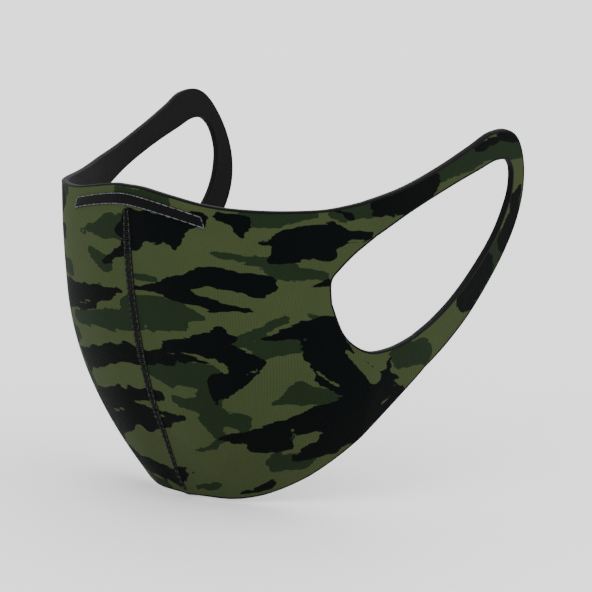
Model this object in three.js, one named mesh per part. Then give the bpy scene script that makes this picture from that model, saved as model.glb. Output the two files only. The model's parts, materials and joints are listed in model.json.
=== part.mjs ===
// A two-layer knit face mask with ear loops cut in one piece with its cheek panels.
// Millimetres, +Z up. The wearer faces -Y and the wearer's left is +X.
// The origin is the top of the centre seam, where the mask sits on the bridge of the nose.
import * as THREE from 'three';

// ---- Driving sizes, in millimetres ----

const seamHeight = 123;        // nose to chin, straight down
const sideLength = 190;        // centre seam to the tip of an ear loop, along the cloth
const chinSetback = 35;        // how far the chin lies behind the nose
const cheekRadius = 71;        // how tightly the front curves round the face
const backHeading = 95;        // degrees the cloth has turned by when it reaches far behind the ears
const setbackPower = 2.4;      // the seam stays upright near the nose and sweeps back near the chin
const dartTop = 38;            // below this the sides are drawn in towards the chin
const dartShare = 0.8;         // how much narrower the chin is than the cheeks
const dartRise = 0.2;          // the dart starts lower further from the seam, by this much a millimetre
const nosePinch = 0.5;         // how much narrower the top is over the nose
const noseDepth = 25;          // the pinch fades out this far below the top
const levelHeight = 28;        // the ears lean about this height
const leanSpan = 55;           // height over which the leans below apply in full
const cheekLean = 6;           // the cheek's top leans in by this
const loopFlare = 15;          // the loop's top flares out by this behind the ear
const backLean = 8;            // and both lean towards the back of the head by this

const clothThickness = 1.0;    // each layer of knit
const layerGap = 0.3;          // between the outer layer and the lining
const seamGap = 0.3;           // between the left and the right panel
const rootGap = 0.75;          // between a cheek panel and its ear loop, where the cloth folds

const rootAlong = 98;          // centre seam to the ear loop's root, along the top edge
const rootTopDrop = 6.6;       // top of the loop's root, below the nose
const rootBottomDrop = 72.8;   // bottom of the loop's root, below the nose
const rootSlant = 20;          // the root's bottom lies this much further back than its top
const topBandRoot = 13.3;      // width of the loop's upper band at its root
const lowBandRoot = 13.6;      // width of the loop's lower band at its root
const bandWidth = 8.6;         // the loop's band at its narrowest
const earFrontAlong = 77.8;    // centre seam to the front of the ear opening

const wireLength = 67;         // nose wire, a flat bendable strip
const wireWidth = 2.2;
const wireThickness = 0.5;
const wireDrop = 5.0;          // nose wire's middle, below the top of the seam
const wireEndDrop = 5.4;       // how much lower its ends sit
const wireGap = 0.3;           // round the wire, inside its casing
const casingWall = 0.5;        // tape sewn over the wire
const casingMargin = 0.8;      // tape beyond the wire on each side
const casingEnd = 2.5;         // tape beyond the wire at each end
const casingRounding = 0.3;    // the tape's long edges
const topStitchInset = 0.35;   // the tape's sewing, in from its edge
const topStitchEnd = 0.8;      // and in from its ends

const threadThickness = 0.4;   // sewing thread
const needleSpacing = 2.8;     // between the two needle rows of the centre seam
const looperPitch = 4.4;       // the zigzag on the inside of the centre seam
const threadGap = 0.3;         // between a thread and the cloth under it
const needleEnd = 1.5;         // a needle row stops this far above the lower edge
const looperEnd = 4;           // and the zigzag this far from both edges
const looperEase = 0.25;       // the zigzag stands this much further off where the lining curves

const colours = {
  camo: 0x39422a, lining: 0x0d0d10, steel: 0xb4b7ba, casing: 0x121315, thread: 0x77797c, seam: 0x1b1d1c,
};

// ---- The mask's surface ----
// A point of the cloth is given by s, its distance from the centre seam along the cloth, and by z, its height.

const planCurve = makePlanCurve();

// The plan curve turns from straight across at the nose to straight back at the ears.
function makePlanCurve() {
  const step = 0.5, lastHeading = THREE.MathUtils.degToRad(backHeading);
  const points = [[0, 0]];
  const heading = (s) => lastHeading * (1 - Math.exp(-((s / cheekRadius) ** 1.5)));
  for (let i = 1; i * step <= sideLength * 1.5; i++) {
    const middle = heading((i - 0.5) * step), [x, y] = points[i - 1];
    points.push([x + Math.cos(middle) * step, y + Math.sin(middle) * step]);
  }
  return { step, points };
}

function planPoint(s) {
  const place = Math.max(s, 0) / planCurve.step, i = Math.floor(place), part = place - i;
  const [a, b] = [planCurve.points[i], planCurve.points[i + 1]];
  return [a[0] + (b[0] - a[0]) * part, a[1] + (b[1] - a[1]) * part];
}

const fade = (from, to, value) => THREE.MathUtils.smoothstep(value, from, to);

// Along the cloth, the cheek starts beside the nose and ends just before the ear loop.
const cheekStart = 15, cheekEnd = 90;

// The seam runs back towards the chin, the chin is drawn in by a dart, the top closes over the nose,
// and the cheeks and the ear loops lean.
function surfacePoint(s, z) {
  const [x, y] = planPoint(s);
  const seamBack = chinSetback * (Math.max(-z, 0) / seamHeight) ** setbackPower * (1 - fade(0, cheekEnd + 5, s));
  const dart = Math.max(-z - dartTop - dartRise * s, 0) / (seamHeight - dartTop);
  const nose = fade(-noseDepth, 0, z) * (1 - fade(0, cheekEnd - 30, s));
  const lean = fade(cheekStart, cheekEnd, s), roll = THREE.MathUtils.clamp((s - cheekEnd) / cheekEnd, 0, 2);
  const level = (z + levelHeight) / leanSpan;
  return new THREE.Vector3(
    x * (1 - dartShare * dart ** 2 - nosePinch * nose) + (loopFlare * roll - cheekLean * lean) * level,
    y + seamBack - backLean * (lean + roll) * level,
    z,
  );
}

function surfaceNormal(s, z) {
  const h = 0.5;
  const across = surfacePoint(Math.max(s, h) + h, z).sub(surfacePoint(Math.max(s, h) - h, z));
  const up = surfacePoint(s, z + h).sub(surfacePoint(s, z - h));
  const normal = across.cross(up).normalize();
  if (s < 2 * h) normal.x *= s / (2 * h);      // square to the middle plane at the seam
  return normal.normalize();
}

// A point under the outer face by depth. side is 1 for the left half and -1 for the right.
function clothPoint(s, z, depth, side) {
  const point = surfacePoint(s, z).addScaledVector(surfaceNormal(s, z), -depth);
  return new THREE.Vector3(side * point.x, point.y, point.z);
}

// ---- The cut pattern, as points [s, z] ----

const rootEnd = (share) => [rootAlong + rootSlant * share,
  -rootTopDrop - (rootBottomDrop - rootTopDrop) * share];
const rootHeight = Math.hypot(rootSlant, rootBottomDrop - rootTopDrop);
const upperInner = rootEnd(topBandRoot / rootHeight);
const lowerInner = rootEnd(1 - lowBandRoot / rootHeight);
const earFront = [earFrontAlong, (upperInner[1] + lowerInner[1]) / 2 - 2.5];

const curveThrough = (points) => new THREE.SplineCurve(points.map(([s, z]) => new THREE.Vector2(s, z)));
const samples = (points, count) => curveThrough(points).getSpacedPoints(count).map((p) => [p.x, p.y]);

// The top edge dips behind the nose: share of the way to the ear opening's front, and height.
const topDip = -7.7;
const topEdge = [[0, 0], [0.167, -0.3], [0.334, -2.4], [0.501, -5.2], [0.681, -6.6], [1, topDip]]
  .map(([share, z]) => [share * earFrontAlong, z]);
const armAlong = (share) => earFrontAlong + share * (rootAlong - earFrontAlong);
const topEdgeBack = [topEdge[5], [armAlong(0.505), -7.5], rootEnd(0)];

// The lower edge from the chin to the bottom of the loop's root: shares of the way along and of the way up.
const lowerEdge = [[0, 0], [0.237, 0], [0.381, 0], [0.475, 0.03], [0.542, 0.085], [0.61, 0.18], [0.669, 0.3],
  [0.805, 0.635], [0.898, 0.83], [1, 1]].map(([along, up]) =>
  [along * (rootAlong + rootSlant), -seamHeight + up * (seamHeight - rootBottomDrop)]);
const lowerFront = lowerEdge.slice(0, 5), lowerBack = lowerEdge.slice(4);

// The ear opening is round in front and follows the bands behind.
const openingTop = [earFront, [armAlong(0.07), earFront[1] + 8], [armAlong(0.282), upperInner[1] - 10.5],
  [armAlong(0.678), upperInner[1] - 5.2], upperInner];
const openingBottom = [earFront, [armAlong(0.109), earFront[1] - 11], [armAlong(0.332), lowerInner[1] + 0.8],
  [armAlong(0.678), lowerInner[1] - 2.5], [armAlong(1.198), lowerInner[1] - 2.4], lowerInner];

// The ear loop's middle line: share of the loop's reach, height, and width as a multiple of bandWidth.
const loopLine = [[0.236, -7.7, 1.08], [0.48, -1.6, 1], [0.672, 3.2, 1.14], [0.804, 6.4, 1.28],
  [0.902, 5.4, 1.3], [0.955, -1.8, 0.93], [0.953, -12.5, 0.9], [0.902, -23, 1], [0.81, -33.3, 1.04],
  [0.665, -44, 1.13], [0.498, -53.7, 1.24], [0.329, -61.2, 1.36]];

// ---- Meshes from the pattern ----

// A patch between an upper and a lower row of points, with its rungs divided evenly.
function patch(upper, lower, rows) {
  const grid = upper.map(([s, z], i) => Array.from({ length: rows + 1 }, (_, j) => {
    const share = j / rows;
    return [s + (lower[i][0] - s) * share, z + (lower[i][1] - z) * share];
  }));
  const quads = [];
  for (let i = 0; i < grid.length - 1; i++) {
    for (let j = 0; j < rows; j++) quads.push([grid[i][j + 1], grid[i + 1][j + 1], grid[i + 1][j], grid[i][j]]);
  }
  return quads;
}

// A closed solid from quads of [s, z] that face outwards: they are laid at both depths, and each edge that
// only one quad has gets a wall. place turns s, z and a face (0 outer, 1 inner) into a point.
function sheetSolid(quads, place) {
  const index = new Map(), points = [], triangles = [], edges = new Map();
  const vertex = ([s, z], face) => {
    const key = `${s.toFixed(3)},${z.toFixed(3)},${face}`;
    if (!index.has(key)) {
      index.set(key, points.length);
      points.push(place(s, z, face));
    }
    return index.get(key);
  };
  const quad = (a, b, c, d) => triangles.push(a, b, c, a, c, d);
  for (const corners of quads) {
    const outer = corners.map((p) => vertex(p, 0)), inner = corners.map((p) => vertex(p, 1));
    quad(...outer);
    quad(...inner.slice().reverse());
    for (let k = 0; k < 4; k++) {
      const [a, b, c, d] = [outer[k], outer[(k + 1) % 4], inner[(k + 1) % 4], inner[k]];
      if (!edges.delete(`${b},${a}`)) edges.set(`${a},${b}`, [b, a, d, c]);
    }
  }
  for (const wall of edges.values()) quad(...wall);
  return solid(points, triangles);
}

function solid(points, triangles) {
  const geometry = new THREE.BufferGeometry().setFromPoints(points);
  geometry.setIndex(triangles);
  if (volume(points, triangles) < 0) geometry.setIndex(triangles.slice().reverse());
  geometry.computeVertexNormals();
  return geometry;
}

function volume(points, triangles) {
  let sum = 0;
  for (let i = 0; i < triangles.length; i += 3) {
    const [a, b, c] = [0, 1, 2].map((k) => points[triangles[i + k]]);
    sum += a.dot(b.clone().cross(c));
  }
  return sum / 6;
}

// Depths of each layer's outer and inner face below the mask's outer face.
const outerLayer = [0, clothThickness];
const liningLayer = [clothThickness + layerGap, 2 * clothThickness + layerGap];
const hingeDepth = clothThickness + layerGap / 2;

// The panel is cut square at the root, clear of the loop's rounded end.
const rootClearance = hingeDepth + rootGap;

function pullBack([s, z]) {
  return [s - rootClearance, z];
}

function cheekPanel(layer, side) {
  const frontColumns = Math.round(earFrontAlong / 5.5), armColumns = Math.round((rootAlong - earFrontAlong) / 3.4);
  const upperRows = 5, lowerRows = 7;
  const middle = samples([[0, earFront[1]], earFront], frontColumns);
  const armMiddle = samples(openingTop, armColumns), armLow = samples(openingBottom, armColumns);
  const back = samples(topEdgeBack, armColumns), low = samples(lowerBack, armColumns);
  const squareOff = (points) => points.map((p, i) => {
    const share = i / armColumns, moved = pullBack(p);
    return [p[0] + (moved[0] - p[0]) * share, p[1]];
  });
  const quads = [
    ...patch(samples(topEdge, frontColumns), middle, upperRows),
    ...patch(middle, samples(lowerFront, frontColumns), lowerRows),
    ...patch(squareOff(back), squareOff(armMiddle), upperRows),
    ...patch(squareOff(armLow), squareOff(low), lowerRows),
  ];
  return sheetSolid(quads, (s, z, face) => {
    const point = clothPoint(s, z, layer[face], side);
    if (s < 0.01) point.x = side * seamGap / 2;
    return point;
  });
}

// The two edges of the ear loop, as points side by side from the upper root round to the lower root.
function loopEdges(count) {
  const reach = sideLength - rootAlong;
  const widest = (share, width) => {
    const [s, z] = rootEnd(share);
    return new THREE.Vector3(s, z, width);
  };
  const controls = [
    widest(topBandRoot / 2 / rootHeight, topBandRoot),
    ...loopLine.map(([share, z, width]) => new THREE.Vector3(rootAlong + reach * share, z, width * bandWidth)),
    widest(1 - lowBandRoot / 2 / rootHeight, lowBandRoot),
  ];
  const line = new THREE.CatmullRomCurve3(controls, false, 'centripetal');
  const rootRung = new THREE.Vector2(rootSlant, rootTopDrop - rootBottomDrop).normalize();
  const outer = [], inner = [];
  for (let i = 0; i <= count; i++) {
    const share = i / count, middle = line.getPointAt(share), ahead = line.getTangentAt(share);
    const rung = new THREE.Vector2(ahead.y, -ahead.x).normalize();
    const atStart = 1 - fade(0, 0.12, share), atEnd = fade(0.88, 1, share);
    rung.lerp(rootRung, atStart).lerp(rootRung.clone().negate(), atEnd).normalize();
    const half = middle.z / 2;
    outer.push([middle.x - rung.x * half, middle.y - rung.y * half]);
    inner.push([middle.x + rung.x * half, middle.y + rung.y * half]);
  }
  return { outer, inner };
}

// The loop's root is rounded about the fold line, which lies in the middle of the two layers.
function earLoop(layer, side) {
  const { outer, inner } = loopEdges(40);
  const slope = rootSlant / (rootBottomDrop - rootTopDrop);
  return sheetSolid(patch(outer, inner, 2), (s, z, face) => {
    const atRoot = Math.abs(s - rootAlong + (z + rootTopDrop) * slope) < 0.01;
    const offMiddle = Math.min(Math.abs(layer[face] - hingeDepth), hingeDepth);
    const round = atRoot ? Math.sqrt(hingeDepth ** 2 - offMiddle ** 2) : 0;
    return clothPoint(s - round, z, layer[face], side);
  });
}

// ---- Nose wire and its casing ----

const wireHeight = (s) => -wireDrop - wireEndDrop * (s / (wireLength / 2)) ** 2;

// A cross-section [across, depth] carried along the wire's line; outline gives it at each s.
function noseSweep(halfLength, steps, outline) {
  const points = [], triangles = [];
  const flat = (s) => outline(s).map(([across, depth]) => new THREE.Vector2(across, depth));
  const section = (s) => (THREE.ShapeUtils.isClockWise(flat(s)) ? flat(s).reverse() : flat(s));
  const sides = section(0).length;
  for (let i = 0; i <= steps; i++) {
    const s = -halfLength + 2 * halfLength * i / steps, side = Math.sign(s) || 1;
    for (const { x: across, y: depth } of section(s)) {
      points.push(clothPoint(Math.abs(s), wireHeight(s) + across, depth, side));
    }
  }
  for (let i = 0; i < steps; i++) {
    for (let k = 0; k < sides; k++) {
      const a = i * sides + k, b = i * sides + (k + 1) % sides;
      triangles.push(a, b, b + sides, a, b + sides, a + sides);
    }
  }
  const faces = THREE.ShapeUtils.triangulateShape(section(halfLength), []);
  const last = steps * sides;
  for (const [a, b, c] of faces) {
    triangles.push(a, c, b);
    triangles.push(last + a, last + b, last + c);
  }
  return solid(points, triangles);
}

function noseWire() {
  const half = wireWidth / 2, low = -layerGap, high = -layerGap - wireThickness;
  return noseSweep(wireLength / 2, 28, () => [[-half, low], [half, low], [half, high], [-half, high]]);
}

const casingHalfWidth = wireWidth / 2 + wireGap + casingMargin;
const casingTop = -layerGap - wireThickness - wireGap - casingWall;

// The casing is a channel that is open towards the cloth and closed down to the cloth past the wire's ends.
function noseCasing() {
  const channel = wireWidth / 2 + wireGap, wall = casingHalfWidth, closedWall = 0.1;
  const ceiling = casingTop + casingWall;
  return noseSweep(wireLength / 2 + casingEnd, 32, (s) => {
    const roof = Math.abs(s) < wireLength / 2 + wireGap + 0.5 ? ceiling : -layerGap - closedWall;
    return [[-wall, -layerGap], [-channel, -layerGap], [-channel, roof], [channel, roof], [channel, -layerGap],
      [wall, -layerGap], [wall, casingTop + casingRounding], [wall - casingRounding, casingTop],
      [casingRounding - wall, casingTop], [-wall, casingTop + casingRounding]];
  });
}

// One thread laid all round the casing near its edge.
function casingThread() {
  const high = casingHalfWidth - casingRounding - topStitchInset, halfLength = wireLength / 2 + casingEnd - topStitchEnd;
  const path = [], steps = 24;
  const level = casingTop - threadGap - threadThickness / 2;
  const at = (s, across) => clothPoint(Math.abs(s), wireHeight(s) + across, level, Math.sign(s) || 1);
  for (let i = 0; i <= steps; i++) path.push(at(-halfLength + 2 * halfLength * i / steps, high));
  for (let i = 0; i <= steps; i++) path.push(at(halfLength - 2 * halfLength * i / steps, -high));
  return threadTube(path, true, path.length, threadThickness / 2);
}

// ---- Threads ----

function threadTube(points, closed, steps, radius) {
  const path = new THREE.CatmullRomCurve3(points, closed, 'centripetal');
  const ring = new THREE.Shape(Array.from({ length: 6 }, (_, k) =>
    new THREE.Vector2(Math.cos(k * Math.PI / 3), Math.sin(k * Math.PI / 3)).multiplyScalar(radius)));
  return new THREE.ExtrudeGeometry(ring, { steps, bevelEnabled: false, extrudePath: path });
}

// A needle row runs down the outside of its own panel, beside the seam.
function needleThread(side) {
  const from = -wireDrop - casingHalfWidth - 2 * threadThickness, to = -seamHeight + needleEnd, count = 24;
  const depth = -threadGap - threadThickness / 2;
  const points = Array.from({ length: count + 1 }, (_, i) =>
    alongSeam(side * needleSpacing / 2, from + (to - from) * i / count, depth));
  return threadTube(points, false, count, threadThickness / 2);
}

// A point beside the centre seam: across it in millimetres, at a height and a depth.
function alongSeam(across, z, depth) {
  const ahead = surfacePoint(0, z + 0.5).sub(surfacePoint(0, z - 0.5)).normalize();
  const seamNormal = new THREE.Vector3(0, -ahead.z, ahead.y);
  const point = surfacePoint(0, z).addScaledVector(seamNormal, -depth);
  point.x = across;
  return point;
}

// The looper thread zigzags over the joined edges on the inside of the mask.
function looperThread() {
  const top = -looperEnd, bottom = -seamHeight + looperEnd;
  const turns = Math.round((top - bottom) / looperPitch * 2);
  const depth = liningLayer[1] + threadGap + threadThickness / 2 + looperEase;
  const points = Array.from({ length: turns + 1 }, (_, i) => {
    const z = top + (bottom - top) * i / turns;
    return alongSeam((i % 2 ? 1 : -1) * needleSpacing / 2, z, depth);
  });
  return threadTube(points, false, turns * 2, threadThickness / 2);
}

// ---- Assembly ----

const mask = new THREE.Group();

function add(name, geometry, colour, roughness, metalness = 0) {
  const mesh = new THREE.Mesh(geometry, new THREE.MeshStandardMaterial({ color: colour, roughness, metalness }));
  mesh.name = name;
  mask.add(mesh);
}

for (const [name, side] of [['left', 1], ['right', -1]]) {
  add(`outer_panel_${name}`, cheekPanel(outerLayer, side), colours.camo, 0.85);
  add(`lining_panel_${name}`, cheekPanel(liningLayer, side), colours.lining, 0.9);
  add(`outer_loop_${name}`, earLoop(outerLayer, side), colours.camo, 0.85);
  add(`lining_loop_${name}`, earLoop(liningLayer, side), colours.lining, 0.9);
  add(`needle_thread_${name}`, needleThread(side), colours.seam, 0.6);
}
add('nose_wire', noseWire(), colours.steel, 0.35, 0.9);
add('nose_casing', noseCasing(), colours.casing, 0.8);
add('casing_thread', casingThread(), colours.thread, 0.6);
add('looper_thread', looperThread(), colours.thread, 0.6);

export default mask;
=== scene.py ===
# A knit face mask in a woodland camo print, lined in black, with ear loops cut in one with the cheeks.
# Metres, +Z up; the wearer faces -Y. Pattern sizes below are in millimetres and become metres in makeMesh.
import json
import math
import bpy
import numpy as np
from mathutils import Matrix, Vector


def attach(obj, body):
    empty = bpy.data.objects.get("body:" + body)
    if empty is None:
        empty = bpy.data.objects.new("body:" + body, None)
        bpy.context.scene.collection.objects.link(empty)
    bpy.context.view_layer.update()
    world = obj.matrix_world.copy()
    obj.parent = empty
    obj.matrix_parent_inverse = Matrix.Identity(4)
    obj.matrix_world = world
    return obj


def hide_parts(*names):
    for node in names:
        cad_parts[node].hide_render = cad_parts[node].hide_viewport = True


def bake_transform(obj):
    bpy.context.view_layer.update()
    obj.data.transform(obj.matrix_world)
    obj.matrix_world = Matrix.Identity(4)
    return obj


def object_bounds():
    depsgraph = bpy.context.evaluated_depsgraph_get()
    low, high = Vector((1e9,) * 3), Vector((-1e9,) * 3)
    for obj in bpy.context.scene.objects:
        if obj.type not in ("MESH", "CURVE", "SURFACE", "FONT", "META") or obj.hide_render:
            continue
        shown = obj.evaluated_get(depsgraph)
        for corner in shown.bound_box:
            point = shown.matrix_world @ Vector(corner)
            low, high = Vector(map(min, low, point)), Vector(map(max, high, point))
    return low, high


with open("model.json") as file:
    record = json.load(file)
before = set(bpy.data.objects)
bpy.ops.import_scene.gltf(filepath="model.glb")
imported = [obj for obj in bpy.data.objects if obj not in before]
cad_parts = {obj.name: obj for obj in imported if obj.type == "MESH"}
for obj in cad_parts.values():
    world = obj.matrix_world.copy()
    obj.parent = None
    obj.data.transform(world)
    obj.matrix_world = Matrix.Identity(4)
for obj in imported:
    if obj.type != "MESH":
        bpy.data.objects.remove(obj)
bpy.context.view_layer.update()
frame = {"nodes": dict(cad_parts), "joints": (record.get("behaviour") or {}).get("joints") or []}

print("frame loaded:", len(frame["nodes"]), "nodes")

# ---- the mask's surface ----
# A point of the cloth is given by s, its distance from the centre seam along the cloth, and z, its height.
shape = dict(seamHeight=123, chinSetback=35, cheekRadius=71, backHeading=95, turnPower=1.5,
             setbackPower=2.4, setbackEnd=95, dartTop=38, dartShare=0.8, dartRise=0.2,
             nosePinch=0.5, noseDepth=25, noseReach=60, levelHeight=28, leanSpan=55, cheekLean=6,
             leanStart=15, leanEnd=90, loopFlare=15, flareSpan=90, backLean=8,
             chinFill=2.4, fillReach=14, fillTop=95)
cut = dict(sideLength=190, rootAlong=98, rootTopDrop=6.6, rootBottomDrop=72.8, rootSlant=20,
           topBandRoot=13.3, lowBandRoot=13.6, bandWidth=8.6, earFront=77.8, splitAlong=48)
cloth = dict(outerDepth=1.1, liningStart=1.2, liningDepth=2.3, gridSize=1.15,
             waveHeight=0.32, puckerHeight=0.16, puckerReach=4.5, seamGroove=0.55, grooveReach=0.7)

planStep, planCount = 0.5, 760
planMiddle = (np.arange(planCount) + 0.5) * planStep
planTurn = 1 - np.exp(-(planMiddle / shape["cheekRadius"]) ** shape["turnPower"])
planHeading = math.radians(shape["backHeading"]) * planTurn
planAlong = np.arange(planCount + 1) * planStep
planX = np.concatenate([[0], np.cumsum(np.cos(planHeading) * planStep)])
planY = np.concatenate([[0], np.cumsum(np.sin(planHeading) * planStep)])


def fade(start, end, value):
    # 0 before start, 1 after end, and a smooth step between them
    t = np.clip((value - start) / (end - start), 0, 1)
    return t * t * (3 - 2 * t)


def surfacePoint(s, z):
    # the plan curve at s, moved back towards the chin, narrowed by the dart and the nose, and leant with
    # height; beside the seam the chin is filled out by a bell-shaped bulge
    x, y = np.interp(s, planAlong, planX), np.interp(s, planAlong, planY)
    drop = np.maximum(-z, 0) / shape["seamHeight"]
    back = shape["chinSetback"] * drop ** shape["setbackPower"] * (1 - fade(0, shape["setbackEnd"], s))
    dartDrop = np.maximum(-z - shape["dartTop"] - shape["dartRise"] * s, 0)
    dart = dartDrop / (shape["seamHeight"] - shape["dartTop"])
    full = shape["chinFill"] * np.exp(-(s / shape["fillReach"]) ** 2)
    full = full * fade(-shape["fillTop"], -shape["seamHeight"], z)
    nose = fade(-shape["noseDepth"], 0, z) * (1 - fade(0, shape["noseReach"], s))
    lean = fade(shape["leanStart"], shape["leanEnd"], s)
    roll = np.clip((s - shape["leanEnd"]) / shape["flareSpan"], 0, 2)
    level = (z + shape["levelHeight"]) / shape["leanSpan"]
    narrow = 1 - shape["dartShare"] * dart ** 2 - shape["nosePinch"] * nose
    return np.stack([x * narrow + (shape["loopFlare"] * roll - shape["cheekLean"] * lean) * level,
                     y + back - full - shape["backLean"] * (lean + roll) * level, z + 0 * s], -1)


def surfaceNormal(s, z):
    # across the slopes along s and along z, turned square to the middle plane at the seam
    h = 0.5
    mid = np.maximum(s, h)
    slopeAlong = surfacePoint(mid + h, z) - surfacePoint(mid - h, z)
    slopeUp = surfacePoint(s, z + h) - surfacePoint(s, z - h)
    normal = np.cross(slopeAlong, slopeUp)
    normal /= np.linalg.norm(normal, axis=-1, keepdims=True)
    normal[..., 0] *= np.clip(s, 0, 1)
    return normal / np.linalg.norm(normal, axis=-1, keepdims=True)


def wireHeight(s):
    # the nose wire's line droops as the square of the distance from the seam
    return -wire["drop"] - wire["endDrop"] * (s / wire["halfLength"]) ** 2


def relief(s, z, side):
    # two long slow waves that die out at the seam, ripples drawn in by the seam, and a groove where it joins
    phase = 0.9 * side
    waves = np.sin(s / 15 + z / 21 + phase) * 0.6 + np.sin(s / 27 - z / 13 + 2.1 * phase) * 0.4
    quiet = fade(6, 34, s) * (1 - 0.75 * fade(84, 110, s))
    ripple = np.sin(z * 2 * np.pi / 5.6 + phase) * 0.6 + np.sin(z * 2 * np.pi / 3.7) * 0.4
    sewn = fade(-3, -10, z) * fade(-shape["seamHeight"], -117, z)
    groove = np.exp(-(s / cloth["grooveReach"]) ** 2)
    pucker = cloth["puckerHeight"] * ripple * np.exp(-s / cloth["puckerReach"]) * sewn
    return cloth["waveHeight"] * waves * quiet + pucker - cloth["seamGroove"] * groove * sewn


def clothPoint(s, z, depth, side):
    # the surface point moved in by depth, less the relief; the right half is the left one's mirror image
    s, z = np.broadcast_arrays(np.asarray(s, float), np.asarray(z, float))
    sunk = np.asarray(depth, float) - relief(s, z, side)
    point = surfacePoint(s, z) - surfaceNormal(s, z) * sunk[..., None]
    return point * np.array([side, 1, 1])


# ---- the cut pattern ----
def spacedSpline(controls, count):
    # Catmull-Rom through the controls, resampled at even distances
    p = np.array(controls, float)
    p = np.vstack([p[:1], p, p[-1:]])
    t = np.linspace(0, 1, 40, endpoint=False)[:, None, None]
    a, b, c, d = p[:-3], p[1:-2], p[2:-1], p[3:]
    square, cube = 2 * a - 5 * b + 4 * c - d, 3 * b - a - 3 * c + d
    curve = 0.5 * (2 * b + (c - a) * t + square * t ** 2 + cube * t ** 3)
    return evenly(np.vstack([curve.transpose(1, 0, 2).reshape(-1, p.shape[1]), p[-1:]]), count)


def evenly(line, count):
    # the same line with count + 1 points at even distances along it
    along = np.concatenate([[0], np.cumsum(np.linalg.norm(np.diff(line[:, :2], axis=0), axis=1))])
    even = np.linspace(0, along[-1], count + 1)
    return np.stack([np.interp(even, along, line[:, k]) for k in range(line.shape[1])], -1)


def centripetal(controls, samples):
    # Catmull-Rom with knots at the square root of the distances, which doesn't loop or overshoot
    p = np.array(controls, float)
    p = np.vstack([2 * p[0] - p[1], p, 2 * p[-1] - p[-2]])
    gap = np.sqrt(np.linalg.norm(np.diff(p, axis=0), axis=1))
    a, b, c, d = p[:-3], p[1:-2], p[2:-1], p[3:]
    g0, g1, g2 = gap[:-2, None], gap[1:-1, None], gap[2:, None]
    m1 = ((b - a) / g0 - (c - a) / (g0 + g1) + (c - b) / g1) * g1
    m2 = ((c - b) / g1 - (d - b) / (g1 + g2) + (d - c) / g2) * g1
    t = np.linspace(0, 1, samples, endpoint=False)[:, None, None]
    curve = b + m1 * t + (3 * (c - b) - 2 * m1 - m2) * t ** 2 + (2 * (b - c) + m1 + m2) * t ** 3
    return np.vstack([curve.transpose(1, 0, 2).reshape(-1, p.shape[1]), p[-2:-1]])


rootHeight = math.hypot(cut["rootSlant"], cut["rootBottomDrop"] - cut["rootTopDrop"])


def rootEnd(share):
    # a point of the line where the ear loop folds away from the cheek
    drop = cut["rootTopDrop"] + (cut["rootBottomDrop"] - cut["rootTopDrop"]) * share
    return [cut["rootAlong"] + cut["rootSlant"] * share, -drop]


upperInner = rootEnd(cut["topBandRoot"] / rootHeight)
lowerInner = rootEnd(1 - cut["lowBandRoot"] / rootHeight)
earFront = [cut["earFront"], (upperInner[1] + lowerInner[1]) / 2 - 2.5]
topLine = spacedSpline([[0, 0], [13, -0.3], [26, -2.4], [39, -5.2], [53, -6.6], [77.8, -7.7],
                        [88, -7.5], rootEnd(0)], 240)
lowLine = spacedSpline([[0, -123.7], [9, -123.5], [28, -122.8], [45, -122.9], [56, -121.5], [64, -118.7],
                        [72, -114], [79, -107.9], [95, -91.1], [106, -81.3], rootEnd(1)], 320)
openingTop = [earFront, [79.2, earFront[1] + 8], [83.5, upperInner[1] - 10.5], [91.5, upperInner[1] - 5.2],
              upperInner]
openingLow = [earFront, [80, earFront[1] - 11], [84.5, lowerInner[1] + 0.8], [91.5, lowerInner[1] - 2.5],
              [102, lowerInner[1] - 2.4], lowerInner]
# the ear loop's middle line: share of its reach, height, and width as a multiple of bandWidth
loopLine = [[0.236, -7.7, 1.08], [0.48, -1.6, 1], [0.672, 3.2, 1.14], [0.804, 6.4, 1.28],
            [0.902, 5.4, 1.3], [0.955, -1.8, 0.93], [0.953, -12.5, 0.9], [0.902, -23, 1],
            [0.81, -33.3, 1.04], [0.665, -44, 1.13], [0.498, -53.7, 1.24], [0.329, -61.2, 1.36]]


def topHeight(s):
    # the top edge's height
    return np.interp(s, topLine[:, 0], topLine[:, 1])


def lowHeight(s):
    # the lower edge's height
    return np.interp(s, lowLine[:, 0], lowLine[:, 1])


def onEdge(s, height):
    # points of the pattern along the edge that height gives
    return np.stack([s, height(s)], -1)


def loopEdges(count):
    # rungs square to the middle line, turned to lie along the root line at both ends
    reach = cut["sideLength"] - cut["rootAlong"]
    start = [*rootEnd(cut["topBandRoot"] / 2 / rootHeight), cut["topBandRoot"]]
    bends = [[cut["rootAlong"] + reach * share, z, width * cut["bandWidth"]]
             for share, z, width in loopLine]
    end = [*rootEnd(1 - cut["lowBandRoot"] / 2 / rootHeight), cut["lowBandRoot"]]
    controls = [start, *bends, end]
    middle = evenly(centripetal(controls, 60), count)
    ahead = np.gradient(middle[:, :2], axis=0)
    rung = np.stack([ahead[:, 1], -ahead[:, 0]], -1)
    rung /= np.linalg.norm(rung, axis=1, keepdims=True)
    share = np.linspace(0, 1, count + 1)[:, None]
    rootRung = np.array([cut["rootSlant"], cut["rootTopDrop"] - cut["rootBottomDrop"]]) / rootHeight
    start, end = 1 - fade(0, 0.12, share), fade(0.88, 1, share)
    rung = rung + (rootRung - rung) * start
    rung = rung + (-rootRung - rung) * end
    rung /= np.linalg.norm(rung, axis=1, keepdims=True)
    half = middle[:, 2:] / 2
    return middle[:, :2] - rung * half, middle[:, :2] + rung * half


def patch(upper, lower, rows):
    # straight rungs from the upper line to the lower line, as a grid of pattern points
    share = np.linspace(0, 1, rows + 1)[None, :, None]
    return upper[:, None] + (lower - upper)[:, None] * share


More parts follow.
